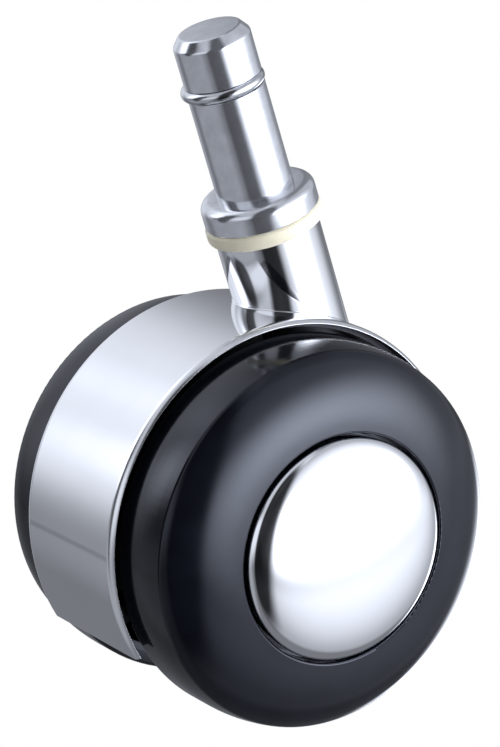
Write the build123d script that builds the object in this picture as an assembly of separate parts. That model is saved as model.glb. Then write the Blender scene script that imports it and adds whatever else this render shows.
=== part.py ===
from build123d import *
import os
from math import cos, degrees, hypot, radians, sin

# Twin-wheel furniture castor with a plug-in stem, a plated hood and two free wheels
# Millimetres, +Z up along the stem, origin on the collar's top face, +X is the way it rolls

# Stem
stem_d = 10.0
stem_length = 22.0
stem_tip_d = 8.0
stem_tip_height = 1.3
collar_d = 15.0
collar_height = 3.3
collar_round = 1.3
journal_d = 8.0
journal_chamfer = 0.5
clip_groove_d = 6.4
stem_tail = 1.4

# Grip ring, at the size it has inside a socket
ring_wire_d = 1.5
ring_height = 14.65
ring_proud = 0.2
ring_groove_gap = 0.12
ring_split = 1.6
ring_split_angle = 60.0

# Swivel bushes and what holds the stem in
flange_proud = 0.15
flange_t = 2.1
flange_round = 0.6
bush_wall = 1.2
bush_length = 8.0
lower_flange_d = 13.0
lower_flange_t = 1.2
stem_washer_d = 12.0
stem_washer_t = 0.8
stem_clip_d = 11.4
stem_clip_t = 0.9
stem_clip_band = 1.3
stem_clip_prong = 2.4
stem_clip_spread = 100.0
stem_clip_mouth = 5.4
swivel_play = 0.1

# Hood
neck_d = 13.6
neck_length = 21.0
neck_fillet = 0.1
neck_rise = 7.0
trail = 14.4
hood_gap = 0.5
hood_wall = 1.24
hood_overlap = 1.3
hood_lip_t = 0.6
hood_lip_edge = 0.12
hood_lip_width = 1.02
hood_core_gap = 0.5
hood_front_angle = 18.0
hood_rear_angle = 192.5
web_t = 5.0
web_notch_gap = 0.7
axle_boss_d = 13.0
axle_boss_set_in = 0.3
rib_angles = (118.0, 149.0, 180.0)
rib_t = 1.4
rib_height = 3.0
rib_set_back = 0.6

# Axle and its washers
axle_d = 6.0
axle_chamfer = 0.4
axle_tail = 0.9
spacer_d = 11.0
spacer_t = 0.8
thrust_washer_d = 12.0
thrust_washer_t = 0.7
wheel_play = 0.1
lock_d = 12.0
lock_t = 0.5
lock_rim = 1.3
lock_rise = 0.9
lock_slots = 6
lock_slot_width = 0.7

# Wheels
wheel_d = 50.0
rim_gap = 18.6
tread_width = 8.8
tread_crown = 0.6
tread_crown_width = 4.6
face_height = 4.2
face_bulge = 0.78
crease_round = 0.7
face_edge_round = 0.3
rim_edge_round = 0.5
rim_wall = 2.6
wheel_wall = 2.2
hub_d = 15.0
hub_length = 7.3
hub_bush_wall = 1.15
wheel_ribs = 12
wheel_rib_t = 1.5
wheel_rib_set_back = 2.2

# Hub caps
cap_d = 28.6
cap_wall = 1.0
cap_set_in = 0.2
cap_crown = 3.5
cap_moat = 0.45
cap_depth = 2.7
spigot_height = 1.4
spigot_wall = 1.6

# Fits
running_gap = 0.05
press_gap = 0.02
groove_gap = 0.05

# Places along the stem axis
neck_top = -collar_height - flange_t
boss_bottom = neck_top - neck_length
washer_top = boss_bottom - lower_flange_t - swivel_play
clip_top = washer_top - stem_washer_t
groove_bottom = clip_top - stem_clip_t - groove_gap
stem_bottom = groove_bottom - stem_tail

# Radii along the stem axis
stem_r = stem_d / 2
journal_r = journal_d / 2
bush_bore_r = journal_r + running_gap
bush_r = bush_bore_r + bush_wall
flange_r = collar_d / 2 + flange_proud
ring_r = stem_r + ring_proud - ring_wire_d / 2

# Places along the axle, counted outwards from the middle of the castor
wheel_r = wheel_d / 2
rim_in = rim_gap / 2
crease_s = rim_in + tread_width
crease_r = wheel_r - tread_crown
face_s = crease_s + face_height
boss_end = rim_in - axle_boss_set_in
hood_half = rim_in + hood_overlap
hood_flat_half = hood_half - hood_lip_width
hood_core_half = rim_in - hood_core_gap
hub_in = boss_end + spacer_t + wheel_play
hub_out = hub_in + hub_length
thrust_in = hub_out + wheel_play
lock_in = thrust_in + thrust_washer_t
axle_end = lock_in + lock_t + lock_rise + axle_tail
floor_s = face_s - cap_depth
cap_edge_s = face_s - cap_set_in
cap_top = cap_edge_s + cap_crown

# Radii about the axle
axle_r = axle_d / 2
hub_bush_bore_r = axle_r + running_gap
hub_bush_r = hub_bush_bore_r + hub_bush_wall
hub_r = hub_d / 2
cap_r = cap_d / 2
moat_r = cap_r + cap_moat
spigot_r = cap_r - cap_wall - press_gap
cup_r = spigot_r - spigot_wall
hood_ri = wheel_r + hood_gap
hood_ro = hood_ri + hood_wall
hood_lip_ri = hood_ro - hood_lip_t
axle_drop = neck_rise + hood_ro - neck_top

# Frames on the axle, with local Z pointing out of each side and local Y up
axle_at = (-trail, 0, -axle_drop)
right_side = Plane(origin=axle_at, x_dir=(1, 0, 0), z_dir=(0, -1, 0))
left_side = Plane(origin=axle_at, x_dir=(-1, 0, 0), z_dir=(0, 1, 0))
sides = {"left": left_side, "right": right_side}

large = 4 * wheel_d
same_place = 0.01
dome_turns = (0, 35, 55, 70, 82, 90)


def turned(outline):
    """Solid turned from an outline of radius and height."""
    return revolve(Plane.XZ * make_face(outline), Axis.Z)


def ring(outer_r, inner_r, low, high):
    """Plain washer between two heights."""
    return turned(Polyline((inner_r, low), (outer_r, low), (outer_r, high), (inner_r, high), close=True))


def make_swivel_stem():
    """Turned pin: socket end with its ring groove, collar, and the journal with its clip groove."""
    tip_r = stem_tip_d / 2
    tail_r = journal_r - journal_chamfer
    corners = [
        ((0, stem_bottom), 0),
        ((tail_r, stem_bottom), 0),
        ((journal_r, stem_bottom + journal_chamfer), 0),
        ((journal_r, groove_bottom), 0),
        ((clip_groove_d / 2, groove_bottom), 0),
        ((clip_groove_d / 2, clip_top), 0),
        ((journal_r, clip_top), 0),
        ((journal_r, -collar_height), 0),
        ((collar_d / 2, -collar_height), 0),
        ((collar_d / 2, 0), collar_round),
        ((stem_r, 0), 0),
        ((stem_r, stem_length - stem_tip_height), 0),
        ((tip_r, stem_length), 0),
        ((0, stem_length), 0),
    ]
    points = [point for point, radius in corners]
    radii = [radius for point, radius in corners]
    pin = turned(FilletPolyline(*points, radius=radii, close=True))
    groove = Torus(ring_r, ring_wire_d / 2 + ring_groove_gap)
    return pin - Pos(0, 0, ring_height) * groove


def make_grip_ring():
    """Split ring of round wire that sits in the stem's groove."""
    split = degrees(ring_split / ring_r)
    section = Plane.XZ * Pos(ring_r, ring_height) * Circle(ring_wire_d / 2)
    return Rot(0, 0, ring_split_angle + split / 2) * revolve(section, Axis.Z, 360 - split)


def make_upper_bush():
    """Nylon bush in the top of the neck, with the flange that the collar turns on."""
    corners = [
        ((bush_bore_r, neck_top - bush_length), 0),
        ((bush_r, neck_top - bush_length), 0),
        ((bush_r, neck_top), 0),
        ((flange_r, neck_top), flange_round),
        ((flange_r, -collar_height), flange_round),
        ((bush_bore_r, -collar_height), 0),
    ]
    points = [point for point, radius in corners]
    radii = [radius for point, radius in corners]
    return turned(FilletPolyline(*points, radius=radii, close=True))


def make_lower_bush():
    """Nylon bush in the bottom of the neck, with its flange below."""
    flange_bottom = boss_bottom - lower_flange_t
    return turned(
        Polyline(
            (bush_bore_r, flange_bottom),
            (lower_flange_d / 2, flange_bottom),
            (lower_flange_d / 2, boss_bottom),
            (bush_r, boss_bottom),
            (bush_r, boss_bottom + bush_length),
            (bush_bore_r, boss_bottom + bush_length),
            close=True,
        )
    )


def make_stem_clip():
    """Three-pronged clip that snaps into the stem's lower groove from the front."""
    outer_r = stem_clip_d / 2
    grip_r = clip_groove_d / 2 + groove_gap
    band_r = outer_r - stem_clip_band
    prongs = Sketch()
    for angle in (180 - stem_clip_spread, 180, 180 + stem_clip_spread):
        prongs += Rot(0, 0, angle) * Pos(outer_r / 2, 0) * Rectangle(outer_r, stem_clip_prong)
    mouth = Pos(outer_r, 0) * Rectangle(2 * outer_r, stem_clip_mouth)
    shape = (Circle(outer_r) - Circle(band_r) + prongs - Circle(grip_r) - mouth) & Circle(outer_r)
    return Pos(0, 0, clip_top - stem_clip_t) * extrude(shape, stem_clip_t)


def make_hood_arch():
    """Band of the hood, an arc about the axle: thick between the wheels, with rounded lips over them."""
    flat_end = (hood_ro, hood_flat_half)
    lip_end = (hood_lip_ri + hood_lip_edge, hood_half)
    outline = Line((hood_ro, 0), flat_end)
    outline += TangentArc(flat_end, lip_end, tangent=(0, 1))
    outline += Polyline(
        lip_end,
        (hood_lip_ri, hood_half),
        (hood_lip_ri, hood_core_half),
        (hood_ri, hood_core_half),
        (hood_ri, 0),
        (hood_ro, 0),
    )
    half = make_face(outline)
    section = half + mirror(half, Plane.XZ)
    sweep = hood_rear_angle - hood_front_angle
    return Rot(0, 0, hood_front_angle) * revolve(Plane.XZ * section, Axis.Z, sweep)


def make_hood_web():
    """Middle wall under the band, with short cross ribs, open below the neck's lower end."""
    edge_r = hood_ri + hood_wall / 2
    front = Vector(edge_r, 0).rotate(Axis.Z, hood_front_angle)
    top = Vector(edge_r, 0).rotate(Axis.Z, (hood_front_angle + hood_rear_angle) / 2)
    rear = Vector(edge_r, 0).rotate(Axis.Z, hood_rear_angle)
    sector = make_face(Line((0, 0), front) + ThreePointArc(front, top, rear) + Line(rear, (0, 0)))
    web = extrude(sector, web_t / 2, both=True)
    rib_depth = rib_height + hood_wall / 2
    rib_length = 2 * (hood_core_half - rib_set_back)
    for angle in rib_angles:
        web += Rot(0, 0, angle) * Pos(edge_r - rib_depth / 2, 0, 0) * Box(rib_depth, rib_t, rib_length)
    return web


def neck_root_edges(solid):
    """Edges where the neck's outside meets the outside of the band."""

    def on_root(point):
        off_neck = abs(hypot(point.X, point.Y) - neck_d / 2)
        off_band = abs(hypot(point.X + trail, point.Z + axle_drop) - hood_ro)
        return max(off_neck, off_band) < same_place

    return [edge for edge in solid.edges() if all(on_root(edge @ part) for part in (0.1, 0.5, 0.9))]


def make_hood():
    """Die-cast hood in one piece: band, web, neck for the stem and boss for the axle."""
    neck_middle = Pos(0, 0, neck_top - neck_length / 2)
    notch_x = max(lower_flange_d, neck_d) / 2 + web_notch_gap
    notch = Pos(large / 2 - notch_x, 0, boss_bottom - large / 2) * Box(large, web_t, large)
    body = right_side * make_hood_arch() + right_side * make_hood_web() - notch
    body += neck_middle * Cylinder(neck_d / 2, neck_length)
    body = fillet(neck_root_edges(body), neck_fillet)
    body += right_side * Cylinder(axle_boss_d / 2, 2 * boss_end)
    body -= neck_middle * Cylinder(bush_r + press_gap, neck_length)
    return body - right_side * Cylinder(axle_r + press_gap, 2 * boss_end)


def make_axle():
    """Plain steel pin through the boss and both wheels."""
    pin = Cylinder(axle_r, 2 * axle_end)
    return right_side * chamfer(pin.edges(), axle_chamfer)


def make_axle_lock():
    """Push-on washer whose sprung teeth bite on the end of the axle."""
    outer_r = lock_d / 2
    root_r = outer_r - lock_rim
    grip_r = axle_r + press_gap
    washer = turned(
        Polyline(
            (root_r, lock_in),
            (outer_r, lock_in),
            (outer_r, lock_in + lock_t),
            (root_r, lock_in + lock_t),
            (grip_r, lock_in + lock_t + lock_rise),
            (grip_r, lock_in + lock_rise),
            close=True,
        )
    )
    slot_height = 2 * (lock_t + lock_rise)
    slot = Pos(root_r / 2, 0, lock_in + slot_height / 2) * Box(root_r, lock_slot_width, slot_height)
    for number in range(lock_slots):
        washer -= Rot(0, 0, number * 360 / lock_slots) * slot
    return washer


def wheel_blank():
    """Wheel with its tread, domed face and cap recess, still solid on the inner side."""
    crease = Vector(crease_r, crease_s)
    rim = Vector(moat_r, face_s)
    along = rim - crease
    bulge = Vector(along.Y, -along.X).normalized() * face_bulge
    tread_end = (wheel_r, crease_s - tread_crown_width)
    outline = Polyline((hub_bush_r + press_gap, rim_in), (wheel_r, rim_in), tread_end)
    outline += TangentArc(tread_end, crease, tangent=(0, 1))
    outline += ThreePointArc(crease, (crease + rim) / 2 + bulge, rim)
    outline += Polyline(
        rim,
        (moat_r, floor_s),
        (spigot_r, floor_s),
        (spigot_r, floor_s + spigot_height),
        (cup_r, floor_s + spigot_height),
        (cup_r, hub_out),
        (hub_bush_r + press_gap, hub_out),
        (hub_bush_r + press_gap, rim_in),
    )
    face = make_face(outline)
    rounded = {(crease_r, crease_s): crease_round, (moat_r, face_s): face_edge_round}
    rounded[(wheel_r, rim_in)] = rim_edge_round
    for place, radius in rounded.items():
        corner = face.vertices().sort_by_distance(place)[0]
        face = fillet(corner, radius)
    return revolve(Plane.XZ * face, Axis.Z)


def wheel_hollow():
    """Space inside the wheel, open towards the hood, with even walls round it."""
    slope = face_height / (crease_r - moat_r)
    wall_down = wheel_wall * hypot(1, slope)
    cup_wall_r = cup_r + wheel_wall
    moat_wall_r = moat_r + wheel_wall
    rim_inner_r = wheel_r - rim_wall
    hollow = turned(
        Polyline(
            (hub_r, hub_in),
            (hub_r, hub_out - wheel_wall),
            (cup_wall_r, hub_out - wheel_wall),
            (cup_wall_r, floor_s - wheel_wall),
            (moat_wall_r, floor_s - wheel_wall),
            (moat_wall_r, face_s - slope * (moat_wall_r - moat_r) - wall_down),
            (rim_inner_r, face_s - slope * (rim_inner_r - moat_r) - wall_down),
            (rim_inner_r, rim_in - wheel_wall),
            (0, rim_in - wheel_wall),
            (0, hub_in),
            close=True,
        )
    )
    rib_low = rim_in + wheel_rib_set_back
    rib_height_in = face_s - rib_low
    rib = Pos(wheel_r / 2, 0, rib_low + rib_height_in / 2) * Box(wheel_r, wheel_rib_t, rib_height_in)
    for number in range(wheel_ribs):
        hollow -= Rot(0, 0, number * 360 / wheel_ribs) * rib
    return hollow


def make_wheel():
    """Moulded wheel with a ribbed inside."""
    return wheel_blank() - wheel_hollow()


def make_hub_bush():
    """Plain bearing pressed into the wheel's hub."""
    return ring(hub_bush_r, hub_bush_bore_r, hub_in, hub_out)


def dome_line(radius, height):
    """Quarter of an oval in arcs that run into each other, from the middle of the dome to its edge."""
    turns = [radians(turn) for turn in dome_turns]
    points = [(radius * sin(turn), cap_edge_s + height * cos(turn)) for turn in turns]
    line = Curve()
    along = (1, 0)
    for start, end in zip(points, points[1:]):
        arc = TangentArc(start, end, tangent=along)
        line += arc
        along = arc % 1
    return line


def make_hub_cap():
    """Plated dome whose skirt fits over the wheel's spigot."""
    inner_r = cap_r - cap_wall
    inner_crown = cap_crown - cap_wall
    outline = Polyline((inner_r, cap_edge_s), (inner_r, floor_s), (cap_r, floor_s), (cap_r, cap_edge_s))
    outline += dome_line(cap_r, cap_crown)
    outline += Line((0, cap_top), (0, cap_edge_s + inner_crown))
    outline += dome_line(inner_r, inner_crown)
    return turned(outline)


pieces = {
    "swivel_stem": make_swivel_stem(),
    "grip_ring": make_grip_ring(),
    "upper_bush": make_upper_bush(),
    "lower_bush": make_lower_bush(),
    "stem_washer": ring(stem_washer_d / 2, bush_bore_r, clip_top, washer_top),
    "stem_clip": make_stem_clip(),
    "hood": make_hood(),
    "axle": make_axle(),
}
for side, place in sides.items():
    pieces["spacer_" + side] = place * ring(spacer_d / 2, hub_bush_bore_r, boss_end, boss_end + spacer_t)
    pieces["wheel_" + side] = place * make_wheel()
    pieces["hub_bush_" + side] = place * make_hub_bush()
    pieces["thrust_washer_" + side] = place * ring(thrust_washer_d / 2, hub_bush_bore_r, thrust_in, lock_in)
    pieces["axle_lock_" + side] = place * make_axle_lock()
    pieces["hub_cap_" + side] = place * make_hub_cap()

os.makedirs("parts", exist_ok=True)
for name, piece in pieces.items():
    export_step(piece, "parts/" + name + ".step")
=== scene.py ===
"""Dresses the twin-wheel furniture castor and sets it in a plain pale studio."""

from math import cos, pi, radians, sin
from typing import NamedTuple

import bmesh
import bpy
from mathutils import Matrix, Vector


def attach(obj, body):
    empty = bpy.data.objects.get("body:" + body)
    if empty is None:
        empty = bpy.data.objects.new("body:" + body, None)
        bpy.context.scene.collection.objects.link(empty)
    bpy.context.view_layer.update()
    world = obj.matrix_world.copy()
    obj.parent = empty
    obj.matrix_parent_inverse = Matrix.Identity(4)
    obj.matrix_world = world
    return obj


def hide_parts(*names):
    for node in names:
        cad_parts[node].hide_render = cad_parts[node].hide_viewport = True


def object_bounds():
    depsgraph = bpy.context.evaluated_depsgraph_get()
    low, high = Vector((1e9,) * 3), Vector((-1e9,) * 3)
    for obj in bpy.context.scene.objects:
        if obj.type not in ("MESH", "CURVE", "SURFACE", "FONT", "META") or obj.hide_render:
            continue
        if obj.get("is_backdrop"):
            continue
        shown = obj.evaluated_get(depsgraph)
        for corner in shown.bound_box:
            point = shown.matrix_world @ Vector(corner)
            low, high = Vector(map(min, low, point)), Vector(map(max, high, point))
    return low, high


bl_info = {
    "name": "Twin-wheel castor",
    "version": (1, 0, 0),
    "blender": (4, 5, 0),
    "location": "View3D > Sidebar > Castor",
    "description": "Models and finishes a furniture castor with a plug-in stem, and lights it",
    "category": "Object",
}

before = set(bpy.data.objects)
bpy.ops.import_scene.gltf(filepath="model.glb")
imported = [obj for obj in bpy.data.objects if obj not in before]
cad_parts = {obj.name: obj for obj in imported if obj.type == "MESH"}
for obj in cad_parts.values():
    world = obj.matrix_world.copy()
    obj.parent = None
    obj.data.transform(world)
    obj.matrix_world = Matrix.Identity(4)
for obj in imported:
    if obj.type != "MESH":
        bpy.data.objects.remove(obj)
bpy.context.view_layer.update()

# Units in metres and radians
MILLIMETRE = 0.001
MICROMETRE = 0.000001
FULL_TURN = 2 * pi
QUARTER_TURN = pi / 2

# Where the stem's axis meets the collar's top face
ORIGIN = (0.0, 0.0, 0.0)

# How finely the pieces are divided
MERGE_DISTANCE = MICROMETRE
SHARP_ANGLE = radians(32.0)
PIN_STEPS = 160
ROUNDING_STEPS = 6
RING_STEPS = 128
WIRE_STEPS = 32
CAP_STEPS_ROUND = 160
CAP_STEPS_UP = 128
PAPER_STEPS = 64

# The range in which nearly all noise lies
NOISE_LOW = 0.3
NOISE_HIGH = 0.7

# Fixed properties of the materials
ZINC_METALLIC = 0.88
WHEEL_IOR = 1.46
IVORY_GLOW = 0.15
IVORY_SCATTER = (1.2 * MILLIMETRE, 0.9 * MILLIMETRE, 0.5 * MILLIMETRE)

# Heights of the finishes' fine relief
HOOD_RIPPLE = 12.0 * MICROMETRE
CAP_RIPPLE = 6.0 * MICROMETRE
LATHE_RINGS = 1.5 * MICROMETRE
METAL_GRAIN = 4.0 * MICROMETRE
IVORY_GRAIN = 6.0 * MICROMETRE
WHEEL_GRAIN = 1.2 * MICROMETRE

# Camera
FRAME_LONG_SIDE_PIXELS = 747
SENSOR_WIDTH = 36.0
CLIP_NEAR = 0.01
CLIP_FAR = 20.0


def length(name, description, millimetres):
    """A distance that a user may change, given in millimetres."""
    return bpy.props.FloatProperty(
        name=name,
        description=description,
        default=millimetres * MILLIMETRE,
        min=0.0,
        precision=5,
        subtype="DISTANCE",
        unit="LENGTH",
    )


def offset(name, description, millimetres):
    """A distance that may point either way, given in millimetres."""
    return bpy.props.FloatProperty(
        name=name,
        description=description,
        default=millimetres * MILLIMETRE,
        precision=5,
        subtype="DISTANCE",
        unit="LENGTH",
    )


def angle(name, description, degrees):
    """An angle that a user may change, given in degrees."""
    return bpy.props.FloatProperty(
        name=name,
        description=description,
        default=radians(degrees),
        subtype="ANGLE",
        unit="ROTATION",
    )


def colour(name, description, red, green, blue):
    """A colour that a user may change."""
    return bpy.props.FloatVectorProperty(
        name=name,
        description=description,
        default=(red, green, blue),
        size=3,
        min=0.0,
        max=1.0,
        subtype="COLOR",
    )


def share(name, description, value):
    """A number between nothing and one that a user may change."""
    return bpy.props.FloatProperty(
        name=name,
        description=description,
        default=value,
        min=0.0,
        max=1.0,
        subtype="FACTOR",
    )


class CastorShape(bpy.types.PropertyGroup):
    """Sizes of the stem, ring and hub caps, where the hood's rims roughen and where its painted shade
    begins, and the relief of the wheels' faces.
    """

    stem_radius: length("Stem radius", "Radius of the straight stem", 5.0)
    stem_top: length("Stem length", "Height of the stem above the collar", 22.0)
    tip_radius: length("Tip radius", "Radius of the stem's flat end", 4.0)
    tip_height: length("Tip height", "Height of the stem's chamfer", 1.3)
    tip_round: length("Tip rounding", "Rounding of the chamfer's edges", 0.22)
    collar_radius: length("Collar radius", "Radius of the collar", 7.5)
    collar_height: length("Collar height", "Height of the collar", 3.3)
    collar_round: length("Collar rounding", "Rounding of the collar's upper edge", 1.3)
    collar_foot_round: length("Collar foot", "Rounding of the collar's lower edge", 0.15)
    journal_radius: length("Journal radius", "Radius of the stem inside the neck", 4.0)
    journal_chamfer: length("Journal chamfer", "Chamfer at the stem's lower end", 0.5)
    clip_groove_radius: length("Clip groove", "Radius of the stem inside its clip", 3.2)
    clip_groove_top: length("Clip groove top", "Depth of the groove's top below the collar", 28.5)
    clip_groove_bottom: length("Clip groove bottom", "Depth of its bottom below the collar", 29.45)
    stem_bottom: length("Stem bottom", "Depth of the stem's lower end below the collar", 30.85)
    groove_radius: length("Ring groove", "Radius of the stem inside its ring groove", 3.58)
    groove_half: length("Ring groove height", "Half the height of the ring groove", 0.8)
    groove_round: length("Ring groove rounding", "Rounding of the ring groove's bottom", 0.4)
    groove_lip: length("Ring groove lip", "Rounding of the ring groove's mouth", 0.08)
    ring_height: length("Ring height", "Height of the grip ring above the collar", 14.65)
    ring_radius: length("Ring radius", "Radius of the relaxed ring, to the middle of its wire", 4.7)
    wire_radius: length("Wire radius", "Radius of the ring's wire", 0.75)
    ring_split: angle("Ring opening", "Angle of the gap between the ring's ends", 39.0)
    ring_split_at: angle("Opening place", "Direction of the gap round the stem", 60.0)
    ring_lean: length("Ring offset", "How far the loose ring lies to one side", 0.25)
    ring_lean_at: angle("Offset direction", "Direction in which the ring lies off the middle", 152.4)
    axle_back: length("Trail", "How far the axle lies behind the stem", 14.4)
    axle_drop: length("Axle depth", "How far the axle lies below the collar", 39.14)
    cap_radius: length("Cap radius", "Radius of the hub caps", 14.3)
    cap_crown: length("Cap crown", "Height of the hub caps' dome", 3.5)
    cap_edge: length("Cap edge", "From the middle of the castor to the foot of the dome", 22.1)
    cap_skirt: length("Cap skirt", "Length of the skirt that holds the cap", 2.5)
    cap_wall: length("Cap wall", "Thickness of the hub caps", 1.0)
    rim_start: length("Rim start", "From the middle of the castor to the hood's rims", 9.4)
    rim_end: length("Rim end", "From the middle of the castor to where the rims are fully dull", 9.9)
    # Painted shade: nearer the axle than this, the hood is painted dark for the shade in the gap over the
    # wheels
    painted_shade_radius: length("Hood inside", "From the axle to where the hood's bright plating ends", 26.24)
    painted_shade_fade: length("Inside fade", "Depth over which the plating fades to the dull inside", 0.06)
    swell_start: length("Swell start", "From the axle to where the wheel's face starts to swell", 8.0)
    swell_end: length("Swell end", "From the axle to where the swell ends", 24.7)
    swell_height: length("Swell height", "How far the wheel's face swells", 1.06)
    roll_start: length("Roll start", "From the axle to where the face starts to roll over", 23.2)
    roll_end: length("Roll end", "From the axle to where the roll ends", 26.5)
    roll_depth: length("Roll depth", "How far the face drops at its edge", 0.57)


class CastorFinishes(bpy.types.PropertyGroup):
    """Colours and gloss of the castor's materials."""

    hood_plate: colour("Hood plating", "Colour of the plated hood and neck", 0.90, 0.905, 0.92)
    hood_gloss: share("Hood roughness", "Roughness of the plating", 0.05)
    # Painted shade: a dark colour painted on the hood's underside for the shade in the gap over the
    # wheels
    hood_painted_shade: colour("Hood inside", "Colour of the dull underside of the hood", 0.06, 0.06, 0.066)
    inside_gloss: share("Inside roughness", "How much duller the underside of the hood is", 0.5)
    rim_gloss: share("Rim roughness", "How much duller the rims of the hood are", 0.16)
    cap_plate: colour("Cap plating", "Colour of the plated hub caps", 0.92, 0.925, 0.94)
    cap_gloss: share("Cap roughness", "Roughness of the cap plating", 0.06)
    stem_zinc: colour("Stem zinc", "Colour of the turned and plated stem", 0.75, 0.76, 0.79)
    stem_gloss: share("Stem roughness", "Roughness of the turned stem", 0.12)
    spring: colour("Spring steel", "Colour of the grip ring, clip and lock washers", 0.72, 0.73, 0.75)
    spring_gloss: share("Spring roughness", "Roughness of the clip and lock washers", 0.16)
    wire_gloss: share("Wire roughness", "Roughness of the grip ring's wire", 0.14)
    steel: colour("Plain steel", "Colour of the axle and washers", 0.55, 0.55, 0.57)
    steel_gloss: share("Steel roughness", "Roughness of the axle and washers", 0.28)
    bronze: colour("Bronze", "Colour of the plain bearings in the hubs", 0.42, 0.27, 0.11)
    bronze_gloss: share("Bronze roughness", "Roughness of the plain bearings", 0.35)
    nylon_ivory: colour("Ivory nylon", "Colour of the swivel bushes and spacers", 0.92, 0.85, 0.64)
    ivory_gloss: share("Ivory roughness", "Roughness of the swivel bushes and spacers", 0.4)
    nylon_black: colour("Black nylon", "Colour of the moulded wheels", 0.0035, 0.004, 0.0065)
    nylon_gloss: share("Wheel roughness", "Roughness of the moulded wheels", 0.13)
    nylon_sheen: colour("Wheel sheen", "Tint of what the wheels mirror", 0.86, 0.9, 1.0)


class CastorStudio(bpy.types.PropertyGroup):
    """Camera and surroundings."""

    azimuth: angle("Azimuth", "Where the camera stands round the castor", -27.6)
    elevation: angle("Elevation", "How far the camera looks down", 24.08)
    roll: angle("Roll", "How far the stem leans in the picture", 16.72)
    distance: length("Distance", "From the camera to the collar's plane", 382.9)
    shift_right: offset("Right of the stem", "Picture's middle, right of the collar", -0.66)
    shift_down: length("Below the collar", "Picture's middle, below the collar", 23.43)
    focal_pixels: bpy.props.FloatProperty(
        name="Focal length",
        description="Focal length in pixels of a picture 747 pixels high",
        default=3020.5,
        min=100.0,
        subtype="PIXEL",
    )
    light: colour("Light", "Tint of the soft lights", 0.86, 0.9, 1.0)
    exposure: bpy.props.FloatProperty(
        name="Brightness",
        description="Brightness of the soft lights",
        default=1.1,
        min=0.0,
    )
    paper: colour("Paper", "Colour of the pale floor and backdrop", 1.0, 1.0, 1.0)
    floor_drop: length("Floor drop", "How far the floor lies below the wheels", 900.0)
    floor_radius: length("Floor radius", "Radius of the flat floor", 1400.0)
    floor_bend: length("Floor bend", "Size of the slope from the floor to the wall", 500.0)
    wall_top: length("Wall top", "Height of the wall above the collar", 2200.0)


class SoftPatch(NamedTuple):
    """An oval of light or shade in the room: angles in degrees, sizes as shares of the distance."""

    azimuth: float
    elevation: float
    width: float
    height: float
    softness: float
    strength: float
    lean: float


SOFT_LIGHTS = {
    "front softbox": SoftPatch(27.1, -3.8, 0.85, 0.49, 1.0, 7.3, -2.5),
    "floor at the right": SoftPatch(31.2, -6.5, 1.16, 1.07, 0.7, 0.87, 16.4),
    "floor below": SoftPatch(20.7, -52.1, 1.7, 0.4, 0.35, 0.24, -7.0),
    "right wall": SoftPatch(43.1, 18.7, 1.7, 0.83, 0.15, 0.28, -5.0),
    "lit paper behind": SoftPatch(128.0, -40.3, 0.47, 0.32, 0.7, 3.8, 0.0),
    "rear wall": SoftPatch(175.0, 15.9, 0.59, 0.89, 0.74, 0.66, 0.0),
    "rear softbox": SoftPatch(-149.5, 18.7, 0.31, 0.44, 0.97, 0.75, 0.0),
    "rear lamp": SoftPatch(-142.0, 34.0, 0.28, 0.38, 1.0, 2.6, 0.0),
    "high rear": SoftPatch(-163.0, 50.0, 0.36, 0.62, 1.0, 0.83, 0.0),
    "left softbox": SoftPatch(-72.0, 27.0, 0.9, 0.5, 0.76, 0.7, 0.0),
    "left floor": SoftPatch(-106.8, -13.8, 0.78, 0.53, 0.3, 0.17, 0.0),
    "ceiling": SoftPatch(-103.6, 84.0, 1.0, 0.62, 0.3, 0.4, 0.0),
}

# Here the strength is the share of the light that a patch takes away
DARK_PATCHES = {
    "camera side": SoftPatch(-28.5, 15.0, 0.48, 1.41, 0.36, 0.95, -12.3),
    "table edge": SoftPatch(-147.0, -8.5, 0.4, 0.02, 0.6, 0.25, 3.0),
    "left gap": SoftPatch(-112.0, 26.0, 0.3, 0.7, 0.4, 0.85, 0.0),
}
ROOM_LIGHT = 0.205


def combine(tree, operation, first, second):
    """One number from two."""
    node = tree.nodes.new("ShaderNodeMath")
    node.operation = operation
    for socket, value in zip(node.inputs, (first, second)):
        if isinstance(value, float):
            socket.default_value = value
        else:
            tree.links.new(value, socket)
    return node.outputs["Value"]


def spread(tree, source, low, high, start=NOISE_LOW, end=NOISE_HIGH, easing="LINEAR"):
    """A number that goes from low to high while the source goes from start to end."""
    reach = tree.nodes.new("ShaderNodeMapRange")
    reach.interpolation_type = easing
    reach.inputs["From Min"].default_value = start
    reach.inputs["From Max"].default_value = end
    reach.inputs["To Min"].default_value = low
    reach.inputs["To Max"].default_value = high
    tree.links.new(source, reach.inputs["Value"])
    return reach.outputs["Result"]


def object_place(tree):
    """Where a point of the surface lies, in the castor's own frame."""
    return tree.nodes.new("ShaderNodeTexCoord").outputs["Object"]


def object_pattern(tree, per_metre, detail, roughness=0.5, stretch=(1.0, 1.0, 1.0)):
    """Noise on Object coordinates."""
    mapping = tree.nodes.new("ShaderNodeMapping")
    mapping.inputs["Scale"].default_value = stretch
    noise = tree.nodes.new("ShaderNodeTexNoise")
    noise.inputs["Scale"].default_value = per_metre
    noise.inputs["Detail"].default_value = detail
    noise.inputs["Roughness"].default_value = roughness
    tree.links.new(object_place(tree), mapping.inputs["Vector"])
    tree.links.new(mapping.outputs["Vector"], noise.inputs["Vector"])
    return noise.outputs["Fac"]


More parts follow.
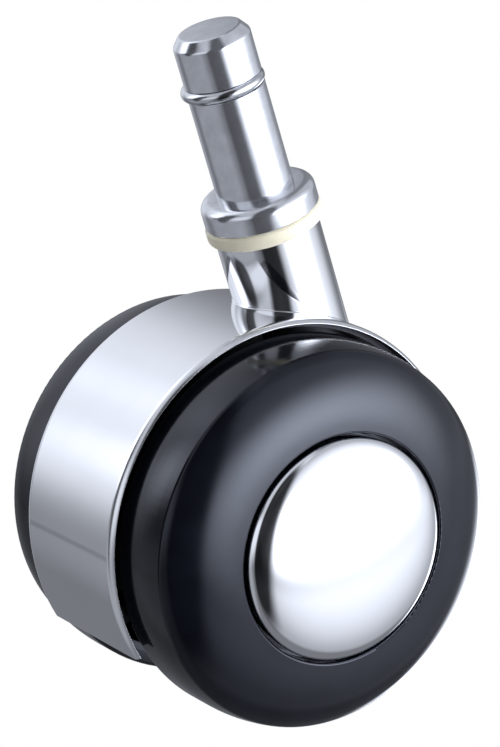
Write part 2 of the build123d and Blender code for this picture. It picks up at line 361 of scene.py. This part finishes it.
def axle_distance(tree, size):
    """How far a point of the surface lies from the line of the axle."""
    from_axle = tree.nodes.new("ShaderNodeVectorMath")
    from_axle.operation = "ADD"
    from_axle.inputs[1].default_value = (size.axle_back, 0.0, size.axle_drop)
    across = tree.nodes.new("ShaderNodeVectorMath")
    across.operation = "MULTIPLY"
    across.inputs[1].default_value = (1.0, 0.0, 1.0)
    reach = tree.nodes.new("ShaderNodeVectorMath")
    reach.operation = "LENGTH"
    tree.links.new(object_place(tree), from_axle.inputs[0])
    tree.links.new(from_axle.outputs["Vector"], across.inputs[0])
    tree.links.new(across.outputs["Vector"], reach.inputs[0])
    return reach.outputs["Value"]


def side_distance(tree):
    """How far a point of the surface lies from the castor's middle plane."""
    parts = tree.nodes.new("ShaderNodeSeparateXYZ")
    tree.links.new(object_place(tree), parts.inputs["Vector"])
    return combine(tree, "ABSOLUTE", parts.outputs["Y"], 0.0)


def fresh_material(name, metallic=0.0):
    """A new node material with its shader in place."""
    material = bpy.data.materials.new(name)
    material.use_nodes = True
    tree = material.node_tree
    shader = tree.nodes["Principled BSDF"]
    shader.inputs["Metallic"].default_value = metallic
    return material, tree, shader


def feeding(shader, name):
    """What is linked to one of the shader's inputs."""
    return shader.inputs[name].links[0].from_socket


def dimmed(tone, factor):
    """A colour made darker or lighter."""
    return tuple(min(1.0, part * factor) for part in tone)


def vary_colour(tree, shader, pattern, tone, darkest, lightest):
    """Lets the pattern move the colour between two shares of its tone."""
    ramp = tree.nodes.new("ShaderNodeValToRGB")
    dark, light = ramp.color_ramp.elements
    dark.position = NOISE_LOW
    dark.color = (*dimmed(tone, darkest), 1.0)
    light.position = NOISE_HIGH
    light.color = (*dimmed(tone, lightest), 1.0)
    tree.links.new(pattern, ramp.inputs["Fac"])
    tree.links.new(ramp.outputs["Color"], shader.inputs["Base Color"])


def vary_gloss(tree, shader, pattern, roughness, smoothest, roughest):
    """Lets the pattern move the roughness between two shares of its plain value."""
    varied = spread(tree, pattern, roughness * smoothest, roughness * roughest)
    tree.links.new(varied, shader.inputs["Roughness"])


def add_roughness(tree, shader, where, extra):
    """Makes the surface rougher where the pattern reaches one."""
    more = combine(tree, "MULTIPLY", where, extra)
    rough = combine(tree, "ADD", feeding(shader, "Roughness"), more)
    tree.links.new(rough, shader.inputs["Roughness"])


def raised(tree, shader, pattern, height):
    """Adds the pattern to the surface as relief of that height, over any relief it has."""
    bump = tree.nodes.new("ShaderNodeBump")
    bump.inputs["Distance"].default_value = height
    tree.links.new(pattern, bump.inputs["Height"])
    if shader.inputs["Normal"].is_linked:
        tree.links.new(feeding(shader, "Normal"), bump.inputs["Normal"])
    tree.links.new(bump.outputs["Normal"], shader.inputs["Normal"])


def plated_chrome(name, tone, roughness, ripple):
    """Bright plating over a polished casting: faint ripple and a few duller patches."""
    material, tree, shader = fresh_material(name, metallic=1.0)
    patches = object_pattern(tree, per_metre=90.0, detail=4.0)
    vary_colour(tree, shader, patches, tone, darkest=0.96, lightest=1.0)
    haze = object_pattern(tree, per_metre=260.0, detail=5.0, roughness=0.6)
    vary_gloss(tree, shader, haze, roughness, smoothest=0.7, roughest=1.5)
    waves = object_pattern(tree, per_metre=110.0, detail=1.0)
    raised(tree, shader, waves, ripple)
    return material


def rough_rims_and_painted_shade(material, size, look):
    """Paints shade on the hood's underside, a dark colour standing for the shade in the gap over the
    wheels, makes it rougher there, and leaves its rims less polished.
    """
    tree = material.node_tree
    shader = tree.nodes["Principled BSDF"]
    rim = spread(tree, side_distance(tree), 0.0, 1.0, size.rim_start, size.rim_end)
    add_roughness(tree, shader, rim, look.rim_gloss)
    fade_start = size.painted_shade_radius - size.painted_shade_fade
    # Painted shade: nearer the axle than the hood's outer band, the colour turns dark for the shade in
    # the gap over the wheels
    inside = spread(tree, axle_distance(tree, size), 1.0, 0.0, fade_start, size.painted_shade_radius)
    tone = tree.nodes.new("ShaderNodeMixRGB")
    tone.inputs["Color2"].default_value = (*look.hood_painted_shade, 1.0)
    tree.links.new(inside, tone.inputs["Fac"])
    tree.links.new(feeding(shader, "Base Color"), tone.inputs["Color1"])
    tree.links.new(tone.outputs["Color"], shader.inputs["Base Color"])
    add_roughness(tree, shader, inside, look.inside_gloss)


def turned_steel(name, tone, roughness):
    """Turned and plated steel with fine lathe rings along its axis."""
    material, tree, shader = fresh_material(name, metallic=ZINC_METALLIC)
    stains = object_pattern(tree, per_metre=420.0, detail=5.0, roughness=0.6)
    vary_colour(tree, shader, stains, tone, darkest=0.88, lightest=1.06)
    rings = object_pattern(tree, per_metre=9000.0, detail=2.0, stretch=(0.004, 0.004, 1.0))
    vary_gloss(tree, shader, rings, roughness, smoothest=0.75, roughest=1.35)
    raised(tree, shader, rings, LATHE_RINGS)
    return material


def plain_metal(name, tone, roughness):
    """Bright drawn or stamped metal with fine mottling."""
    material, tree, shader = fresh_material(name, metallic=1.0)
    mottle = object_pattern(tree, per_metre=900.0, detail=5.0, roughness=0.6)
    vary_colour(tree, shader, mottle, tone, darkest=0.82, lightest=1.05)
    vary_gloss(tree, shader, mottle, roughness, smoothest=0.8, roughest=1.3)
    grain = object_pattern(tree, per_metre=4000.0, detail=2.0)
    raised(tree, shader, grain, METAL_GRAIN)
    return material


def ivory_nylon(name, tone, roughness):
    """Natural nylon, a little uneven and waxy."""
    material, tree, shader = fresh_material(name)
    clouds = object_pattern(tree, per_metre=300.0, detail=4.0)
    vary_colour(tree, shader, clouds, tone, darkest=0.9, lightest=1.05)
    vary_gloss(tree, shader, clouds, roughness, smoothest=0.95, roughest=1.3)
    shader.inputs["Subsurface Weight"].default_value = IVORY_GLOW
    shader.inputs["Subsurface Radius"].default_value = IVORY_SCATTER
    grain = object_pattern(tree, per_metre=5000.0, detail=2.0)
    raised(tree, shader, grain, IVORY_GRAIN)
    return material


def black_nylon(name, look, size):
    """Glossy black moulding with a faint grain, uneven gloss and a face that swells and rolls over."""
    material, tree, shader = fresh_material(name)
    clouds = object_pattern(tree, per_metre=160.0, detail=4.0)
    vary_colour(tree, shader, clouds, look.nylon_black, darkest=0.7, lightest=1.4)
    vary_gloss(tree, shader, clouds, look.nylon_gloss, smoothest=0.8, roughest=1.25)
    shader.inputs["IOR"].default_value = WHEEL_IOR
    shader.inputs["Specular Tint"].default_value = (*look.nylon_sheen, 1.0)
    reach = axle_distance(tree, size)
    swell = spread(tree, reach, 0.0, 1.0, size.swell_start, size.swell_end, "SMOOTHSTEP")
    raised(tree, shader, swell, size.swell_height)
    roll = spread(tree, reach, 1.0, 0.0, size.roll_start, size.roll_end, "SMOOTHSTEP")
    raised(tree, shader, roll, size.roll_depth)
    grain = object_pattern(tree, per_metre=7000.0, detail=2.0)
    raised(tree, shader, grain, WHEEL_GRAIN)
    return material


def dress(material, *nodes):
    """Gives CAD nodes that stay in view a finished material."""
    for node in nodes:
        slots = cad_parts[node].data.materials
        slots.clear()
        slots.append(material)


def finish_piece(shape, name, material, node, body):
    """Makes the bmesh an object that stands in for a CAD node."""
    bmesh.ops.remove_doubles(shape, verts=shape.verts, dist=MERGE_DISTANCE)
    bmesh.ops.recalc_face_normals(shape, faces=shape.faces)
    mesh = bpy.data.meshes.new(name)
    shape.to_mesh(mesh)
    shape.free()
    mesh.shade_smooth()
    mesh.set_sharp_from_angle(angle=SHARP_ANGLE)
    mesh.materials.append(material)
    piece = bpy.data.objects.new(name, mesh)
    bpy.context.scene.collection.objects.link(piece)
    weighted = piece.modifiers.new("weighted_normals", "WEIGHTED_NORMAL")
    weighted.keep_sharp = True
    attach(piece, body)
    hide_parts(node)


def turn_round(shape, geometry, sweep, steps, closed):
    """Turns a bmesh's geometry about the stem's axis."""
    bmesh.ops.spin(
        shape,
        geom=geometry,
        cent=ORIGIN,
        axis=(0.0, 0.0, 1.0),
        angle=sweep,
        steps=steps,
        use_merge=closed,
    )


def turned_skin(corners, steps):
    """A skin turned about the stem's axis from corners of radius and height."""
    shape = bmesh.new()
    verts = [shape.verts.new((radius, 0.0, height)) for radius, height in corners]
    edges = [shape.edges.new(pair) for pair in zip(verts, verts[1:])]
    turn_round(shape, verts + edges, FULL_TURN, steps, True)
    bmesh.ops.remove_doubles(shape, verts=shape.verts, dist=MERGE_DISTANCE)
    return shape


def soften_ring(shape, radius, height, soft):
    """Rounds the circular edge at one radius and height."""

    def on_ring(vert):
        level = abs(vert.co.z - height) < MERGE_DISTANCE
        return level and abs(vert.co.xy.length - radius) < MERGE_DISTANCE

    bmesh.ops.bevel(
        shape,
        geom=[edge for edge in shape.edges if all(on_ring(vert) for vert in edge.verts)],
        offset=soft,
        offset_type="OFFSET",
        affect="EDGES",
        segments=ROUNDING_STEPS,
        profile=0.5,
        material=-1,
    )


def turned_pin(corners):
    """A pin turned from corners of radius, height and edge rounding."""
    shape = turned_skin([(radius, height) for radius, height, soft in corners], PIN_STEPS)
    for radius, height, soft in corners:
        if soft > 0.0:
            soften_ring(shape, radius, height, soft)
    return shape


def stem_outline(size):
    """The stem's corners from its tip down, each with its radius, height and edge rounding."""
    low = size.ring_height - size.groove_half
    high = size.ring_height + size.groove_half
    return (
        (0.0, size.stem_top, 0.0),
        (size.tip_radius, size.stem_top, size.tip_round),
        (size.stem_radius, size.stem_top - size.tip_height, size.tip_round),
        (size.stem_radius, high, size.groove_lip),
        (size.groove_radius, high, size.groove_round),
        (size.groove_radius, low, size.groove_round),
        (size.stem_radius, low, size.groove_lip),
        (size.stem_radius, 0.0, 0.0),
        (size.collar_radius, 0.0, size.collar_round),
        (size.collar_radius, -size.collar_height, size.collar_foot_round),
        (size.journal_radius, -size.collar_height, 0.0),
        (size.journal_radius, -size.clip_groove_top, 0.0),
        (size.clip_groove_radius, -size.clip_groove_top, 0.0),
        (size.clip_groove_radius, -size.clip_groove_bottom, 0.0),
        (size.journal_radius, -size.clip_groove_bottom, 0.0),
        (size.journal_radius, size.journal_chamfer - size.stem_bottom, 0.0),
        (size.journal_radius - size.journal_chamfer, -size.stem_bottom, 0.0),
        (0.0, -size.stem_bottom, 0.0),
    )


def sprung_ring(size):
    """A split ring of round wire, a little larger than its groove and lying to one side."""
    shape = bmesh.new()
    bmesh.ops.create_circle(shape, cap_ends=False, segments=WIRE_STEPS, radius=size.wire_radius)
    upright = Matrix.Rotation(QUARTER_TURN, 3, "X")
    bmesh.ops.rotate(shape, cent=ORIGIN, matrix=upright, verts=shape.verts)
    bmesh.ops.translate(shape, vec=(size.ring_radius, 0.0, size.ring_height), verts=shape.verts)
    sweep = FULL_TURN - size.ring_split
    turn_round(shape, shape.verts[:] + shape.edges[:], sweep, RING_STEPS, False)
    ends = [edge for edge in shape.edges if edge.is_boundary]
    bmesh.ops.holes_fill(shape, edges=ends, sides=0)
    start = Matrix.Rotation(size.ring_split_at + size.ring_split / 2, 3, "Z")
    bmesh.ops.rotate(shape, cent=ORIGIN, matrix=start, verts=shape.verts)
    lean = Vector((cos(size.ring_lean_at), sin(size.ring_lean_at), 0.0)) * size.ring_lean
    bmesh.ops.translate(shape, vec=lean, verts=shape.verts)
    return shape


def domed_cap(size, side):
    """An oval dome with a short skirt and an even wall, set on one end of the axle."""
    shape = bmesh.new()
    bmesh.ops.create_uvsphere(
        shape,
        u_segments=CAP_STEPS_ROUND,
        v_segments=CAP_STEPS_UP,
        radius=1.0,
    )
    bmesh.ops.bisect_plane(
        shape,
        geom=shape.verts[:] + shape.edges[:] + shape.faces[:],
        dist=MERGE_DISTANCE,
        plane_co=ORIGIN,
        plane_no=(0.0, 0.0, -1.0),
        clear_outer=True,
    )
    bmesh.ops.scale(shape, vec=(size.cap_radius, size.cap_radius, size.cap_crown), verts=shape.verts)
    rim = [edge for edge in shape.edges if edge.is_boundary]
    skirt = bmesh.ops.extrude_edge_only(shape, edges=rim)["geom"]
    skirt_verts = [part for part in skirt if isinstance(part, bmesh.types.BMVert)]
    bmesh.ops.translate(shape, vec=(0.0, 0.0, -size.cap_skirt), verts=skirt_verts)
    bmesh.ops.recalc_face_normals(shape, faces=shape.faces)
    bmesh.ops.solidify(shape, geom=shape.faces[:], thickness=size.cap_wall)
    bmesh.ops.translate(shape, vec=(0.0, 0.0, size.cap_edge), verts=shape.verts)
    facing = Matrix.Rotation(side * QUARTER_TURN, 4, "X")
    place = Matrix.Translation((-size.axle_back, 0.0, -size.axle_drop))
    bmesh.ops.transform(shape, matrix=place @ facing, verts=shape.verts)
    return shape


class CASTOR_OT_stem(bpy.types.Operator):
    """Models the turned stem with its softened edges, and its relaxed grip ring"""

    bl_idname = "castor.stem"
    bl_label = "Swivel stem"

    def execute(self, context):
        size, look = context.scene.castor_shape, context.scene.castor_finishes
        pin = turned_pin(stem_outline(size))
        zinc = turned_steel("turned_zinc", look.stem_zinc, look.stem_gloss)
        finish_piece(pin, "turned_stem", zinc, "swivel_stem", "stem")
        ring = sprung_ring(size)
        wire = plain_metal("ring_wire", look.spring, look.wire_gloss)
        finish_piece(ring, "sprung_ring", wire, "grip_ring", "stem")
        return {"FINISHED"}


class CASTOR_OT_hood(bpy.types.Operator):
    """Plates the one-piece hood and neck"""

    bl_idname = "castor.hood"
    bl_label = "Hood"

    def execute(self, context):
        size, look = context.scene.castor_shape, context.scene.castor_finishes
        plating = plated_chrome("hood_plating", look.hood_plate, look.hood_gloss, HOOD_RIPPLE)
        rough_rims_and_painted_shade(plating, size, look)
        dress(plating, "hood")
        return {"FINISHED"}


class CASTOR_OT_wheels(bpy.types.Operator):
    """Finishes the two moulded wheels"""

    bl_idname = "castor.wheels"
    bl_label = "Wheels"

    def execute(self, context):
        size, look = context.scene.castor_shape, context.scene.castor_finishes
        moulding = black_nylon("black_nylon", look, size)
        dress(moulding, "wheel_left", "wheel_right")
        return {"FINISHED"}


class CASTOR_OT_caps(bpy.types.Operator):
    """Models and plates the two hub caps"""

    bl_idname = "castor.caps"
    bl_label = "Hub caps"

    def execute(self, context):
        size, look = context.scene.castor_shape, context.scene.castor_finishes
        plating = plated_chrome("cap_plating", look.cap_plate, look.cap_gloss, CAP_RIPPLE)
        for name, side in (("left", -1), ("right", 1)):
            cap = domed_cap(size, side)
            node, body = "hub_cap_" + name, name + "_wheel"
            finish_piece(cap, "domed_cap_" + name, plating, node, body)
        return {"FINISHED"}


class CASTOR_OT_fittings(bpy.types.Operator):
    """Finishes the bushes, spacers, washers, clip, locks and axle"""

    bl_idname = "castor.fittings"
    bl_label = "Fittings"

    def execute(self, context):
        look = context.scene.castor_finishes
        spring = plain_metal("spring_steel", look.spring, look.spring_gloss)
        dress(spring, "stem_clip", "axle_lock_left", "axle_lock_right")
        ivory = ivory_nylon("ivory_nylon", look.nylon_ivory, look.ivory_gloss)
        dress(ivory, "upper_bush", "lower_bush", "spacer_left", "spacer_right")
        steel = plain_metal("plain_steel", look.steel, look.steel_gloss)
        dress(steel, "axle", "stem_washer", "thrust_washer_left", "thrust_washer_right")
        bronze = plain_metal("bearing_bronze", look.bronze, look.bronze_gloss)
        dress(bronze, "hub_bush_left", "hub_bush_right")
        return {"FINISHED"}


def soft_patch(tree, direction, patch):
    """Brightness of an oval patch in one direction, full in its middle and fading to its edge."""
    aim = Matrix.Rotation(radians(patch.azimuth), 3, "Z")
    aim = aim @ Matrix.Rotation(-radians(patch.elevation), 3, "X")
    aim = aim @ Matrix.Rotation(-radians(patch.lean), 3, "Y")
    mapping = tree.nodes.new("ShaderNodeMapping")
    mapping.vector_type = "TEXTURE"
    mapping.inputs["Location"].default_value = aim @ Vector((0.0, -1.0, 0.0))
    mapping.inputs["Rotation"].default_value = aim.to_euler("XYZ")
    mapping.inputs["Scale"].default_value = (patch.width, 1.0, patch.height)
    fade = tree.nodes.new("ShaderNodeTexGradient")
    fade.gradient_type = "SPHERICAL"
    tree.links.new(direction, mapping.inputs["Vector"])
    tree.links.new(mapping.outputs["Vector"], fade.inputs["Vector"])
    middle = fade.outputs["Fac"]
    return spread(tree, middle, 0.0, patch.strength, 0.0, patch.softness, "SMOOTHSTEP")


def light_the_room(scene, studio):
    """Surroundings of soft lights that the castor mirrors."""
    world = bpy.data.worlds.new("studio")
    world.use_nodes = True
    scene.world = world
    tree = world.node_tree
    direction = tree.nodes.new("ShaderNodeTexCoord").outputs["Generated"]
    total = ROOM_LIGHT
    for patch in SOFT_LIGHTS.values():
        total = combine(tree, "ADD", soft_patch(tree, direction, patch), total)
    for patch in DARK_PATCHES.values():
        kept = combine(tree, "SUBTRACT", 1.0, soft_patch(tree, direction, patch))
        total = combine(tree, "MULTIPLY", total, kept)
    total = combine(tree, "MULTIPLY", total, studio.exposure)
    room = tree.nodes["Background"]
    room.inputs["Color"].default_value = (*studio.light, 1.0)
    tree.links.new(total, room.inputs["Strength"])


def glowing_paper(tone):
    """Paper that is evenly bright from every side."""
    material = bpy.data.materials.new("studio_paper")
    material.use_nodes = True
    tree = material.node_tree
    tree.nodes.remove(tree.nodes["Principled BSDF"])
    glow = tree.nodes.new("ShaderNodeEmission")
    glow.inputs["Color"].default_value = (*tone, 1.0)
    tree.links.new(glow.outputs["Emission"], tree.nodes["Material Output"].inputs["Surface"])
    return material


def lay_paper(scene, studio):
    """Pale floor that sweeps up into a backdrop all round, seen by the camera alone."""
    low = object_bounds()[0].z - studio.floor_drop
    wall = studio.floor_radius + studio.floor_bend
    corners = (
        (0.0, low),
        (studio.floor_radius, low),
        (wall, low + studio.floor_bend),
        (wall, studio.wall_top),
        (0.0, studio.wall_top + studio.floor_bend),
    )
    paper = turned_skin(corners, PAPER_STEPS)
    bmesh.ops.recalc_face_normals(paper, faces=paper.faces)
    bmesh.ops.reverse_faces(paper, faces=paper.faces)
    mesh = bpy.data.meshes.new("studio_paper")
    paper.to_mesh(mesh)
    paper.free()
    mesh.materials.append(glowing_paper(studio.paper))
    sweep = bpy.data.objects.new("studio_paper", mesh)
    scene.collection.objects.link(sweep)
    sweep.visible_diffuse = False
    sweep.visible_glossy = False
    sweep.visible_transmission = False
    sweep.visible_shadow = False
    sweep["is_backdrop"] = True


def place_camera(scene, studio):
    """Camera at the photograph's viewing angle."""
    azimuth, elevation, roll = studio.azimuth, studio.elevation, studio.roll
    back = Vector((sin(azimuth) * cos(elevation), -cos(azimuth) * cos(elevation), sin(elevation)))
    level = Vector((cos(azimuth), sin(azimuth), 0.0))
    upright = back.cross(level)
    right = level * cos(roll) - upright * sin(roll)
    up = level * sin(roll) + upright * cos(roll)
    place = back * studio.distance + right * studio.shift_right - up * studio.shift_down
    data = bpy.data.cameras.new("studio_camera")
    data.sensor_width = SENSOR_WIDTH
    data.lens = studio.focal_pixels * SENSOR_WIDTH / FRAME_LONG_SIDE_PIXELS
    data.clip_start = CLIP_NEAR
    data.clip_end = CLIP_FAR
    camera = bpy.data.objects.new("studio_camera", data)
    turn = Matrix((right, up, back)).transposed().to_4x4()
    camera.matrix_world = Matrix.Translation(place) @ turn
    scene.collection.objects.link(camera)
    scene.camera = camera


class CASTOR_OT_studio(bpy.types.Operator):
    """Sets up the pale paper, the soft lights and the camera"""

    bl_idname = "castor.studio"
    bl_label = "Studio"

    def execute(self, context):
        studio = context.scene.castor_studio
        context.scene.view_settings.view_transform = "Standard"
        lay_paper(context.scene, studio)
        light_the_room(context.scene, studio)
        place_camera(context.scene, studio)
        return {"FINISHED"}


STEPS = (
    CASTOR_OT_stem,
    CASTOR_OT_hood,
    CASTOR_OT_wheels,
    CASTOR_OT_caps,
    CASTOR_OT_fittings,
    CASTOR_OT_studio,
)


class CASTOR_PT_panel(bpy.types.Panel):
    """Lists the castor's steps and settings"""

    bl_label = "Castor"
    bl_idname = "CASTOR_PT_panel"
    bl_space_type = "VIEW_3D"
    bl_region_type = "UI"
    bl_category = "Castor"

    def draw(self, context):
        for step in STEPS:
            self.layout.operator(step.bl_idname)
        scene = context.scene
        for group in (scene.castor_shape, scene.castor_finishes, scene.castor_studio):
            box = self.layout.box()
            for setting in group.__annotations__:
                box.prop(group, setting)


CLASSES = (CastorShape, CastorFinishes, CastorStudio, *STEPS, CASTOR_PT_panel)


def register():
    """Adds the castor's settings, steps and panel."""
    for cls in CLASSES:
        bpy.utils.register_class(cls)
    bpy.types.Scene.castor_shape = bpy.props.PointerProperty(type=CastorShape)
    bpy.types.Scene.castor_finishes = bpy.props.PointerProperty(type=CastorFinishes)
    bpy.types.Scene.castor_studio = bpy.props.PointerProperty(type=CastorStudio)


def unregister():
    """Takes the castor's settings, steps and panel out again."""
    del bpy.types.Scene.castor_studio
    del bpy.types.Scene.castor_finishes
    del bpy.types.Scene.castor_shape
    for cls in reversed(CLASSES):
        bpy.utils.unregister_class(cls)


def clear_default_scene():
    """Takes out what a new Blender file starts with."""
    for name in ("Cube", "Light", "Camera"):
        if name in bpy.data.objects:
            bpy.data.objects.remove(bpy.data.objects[name])


def main():
    """Builds the castor and its studio."""
    clear_default_scene()
    register()
    bpy.ops.castor.stem()
    bpy.ops.castor.hood()
    bpy.ops.castor.wheels()
    bpy.ops.castor.caps()
    bpy.ops.castor.fittings()
    bpy.ops.castor.studio()


if __name__ == "__main__":
    main()
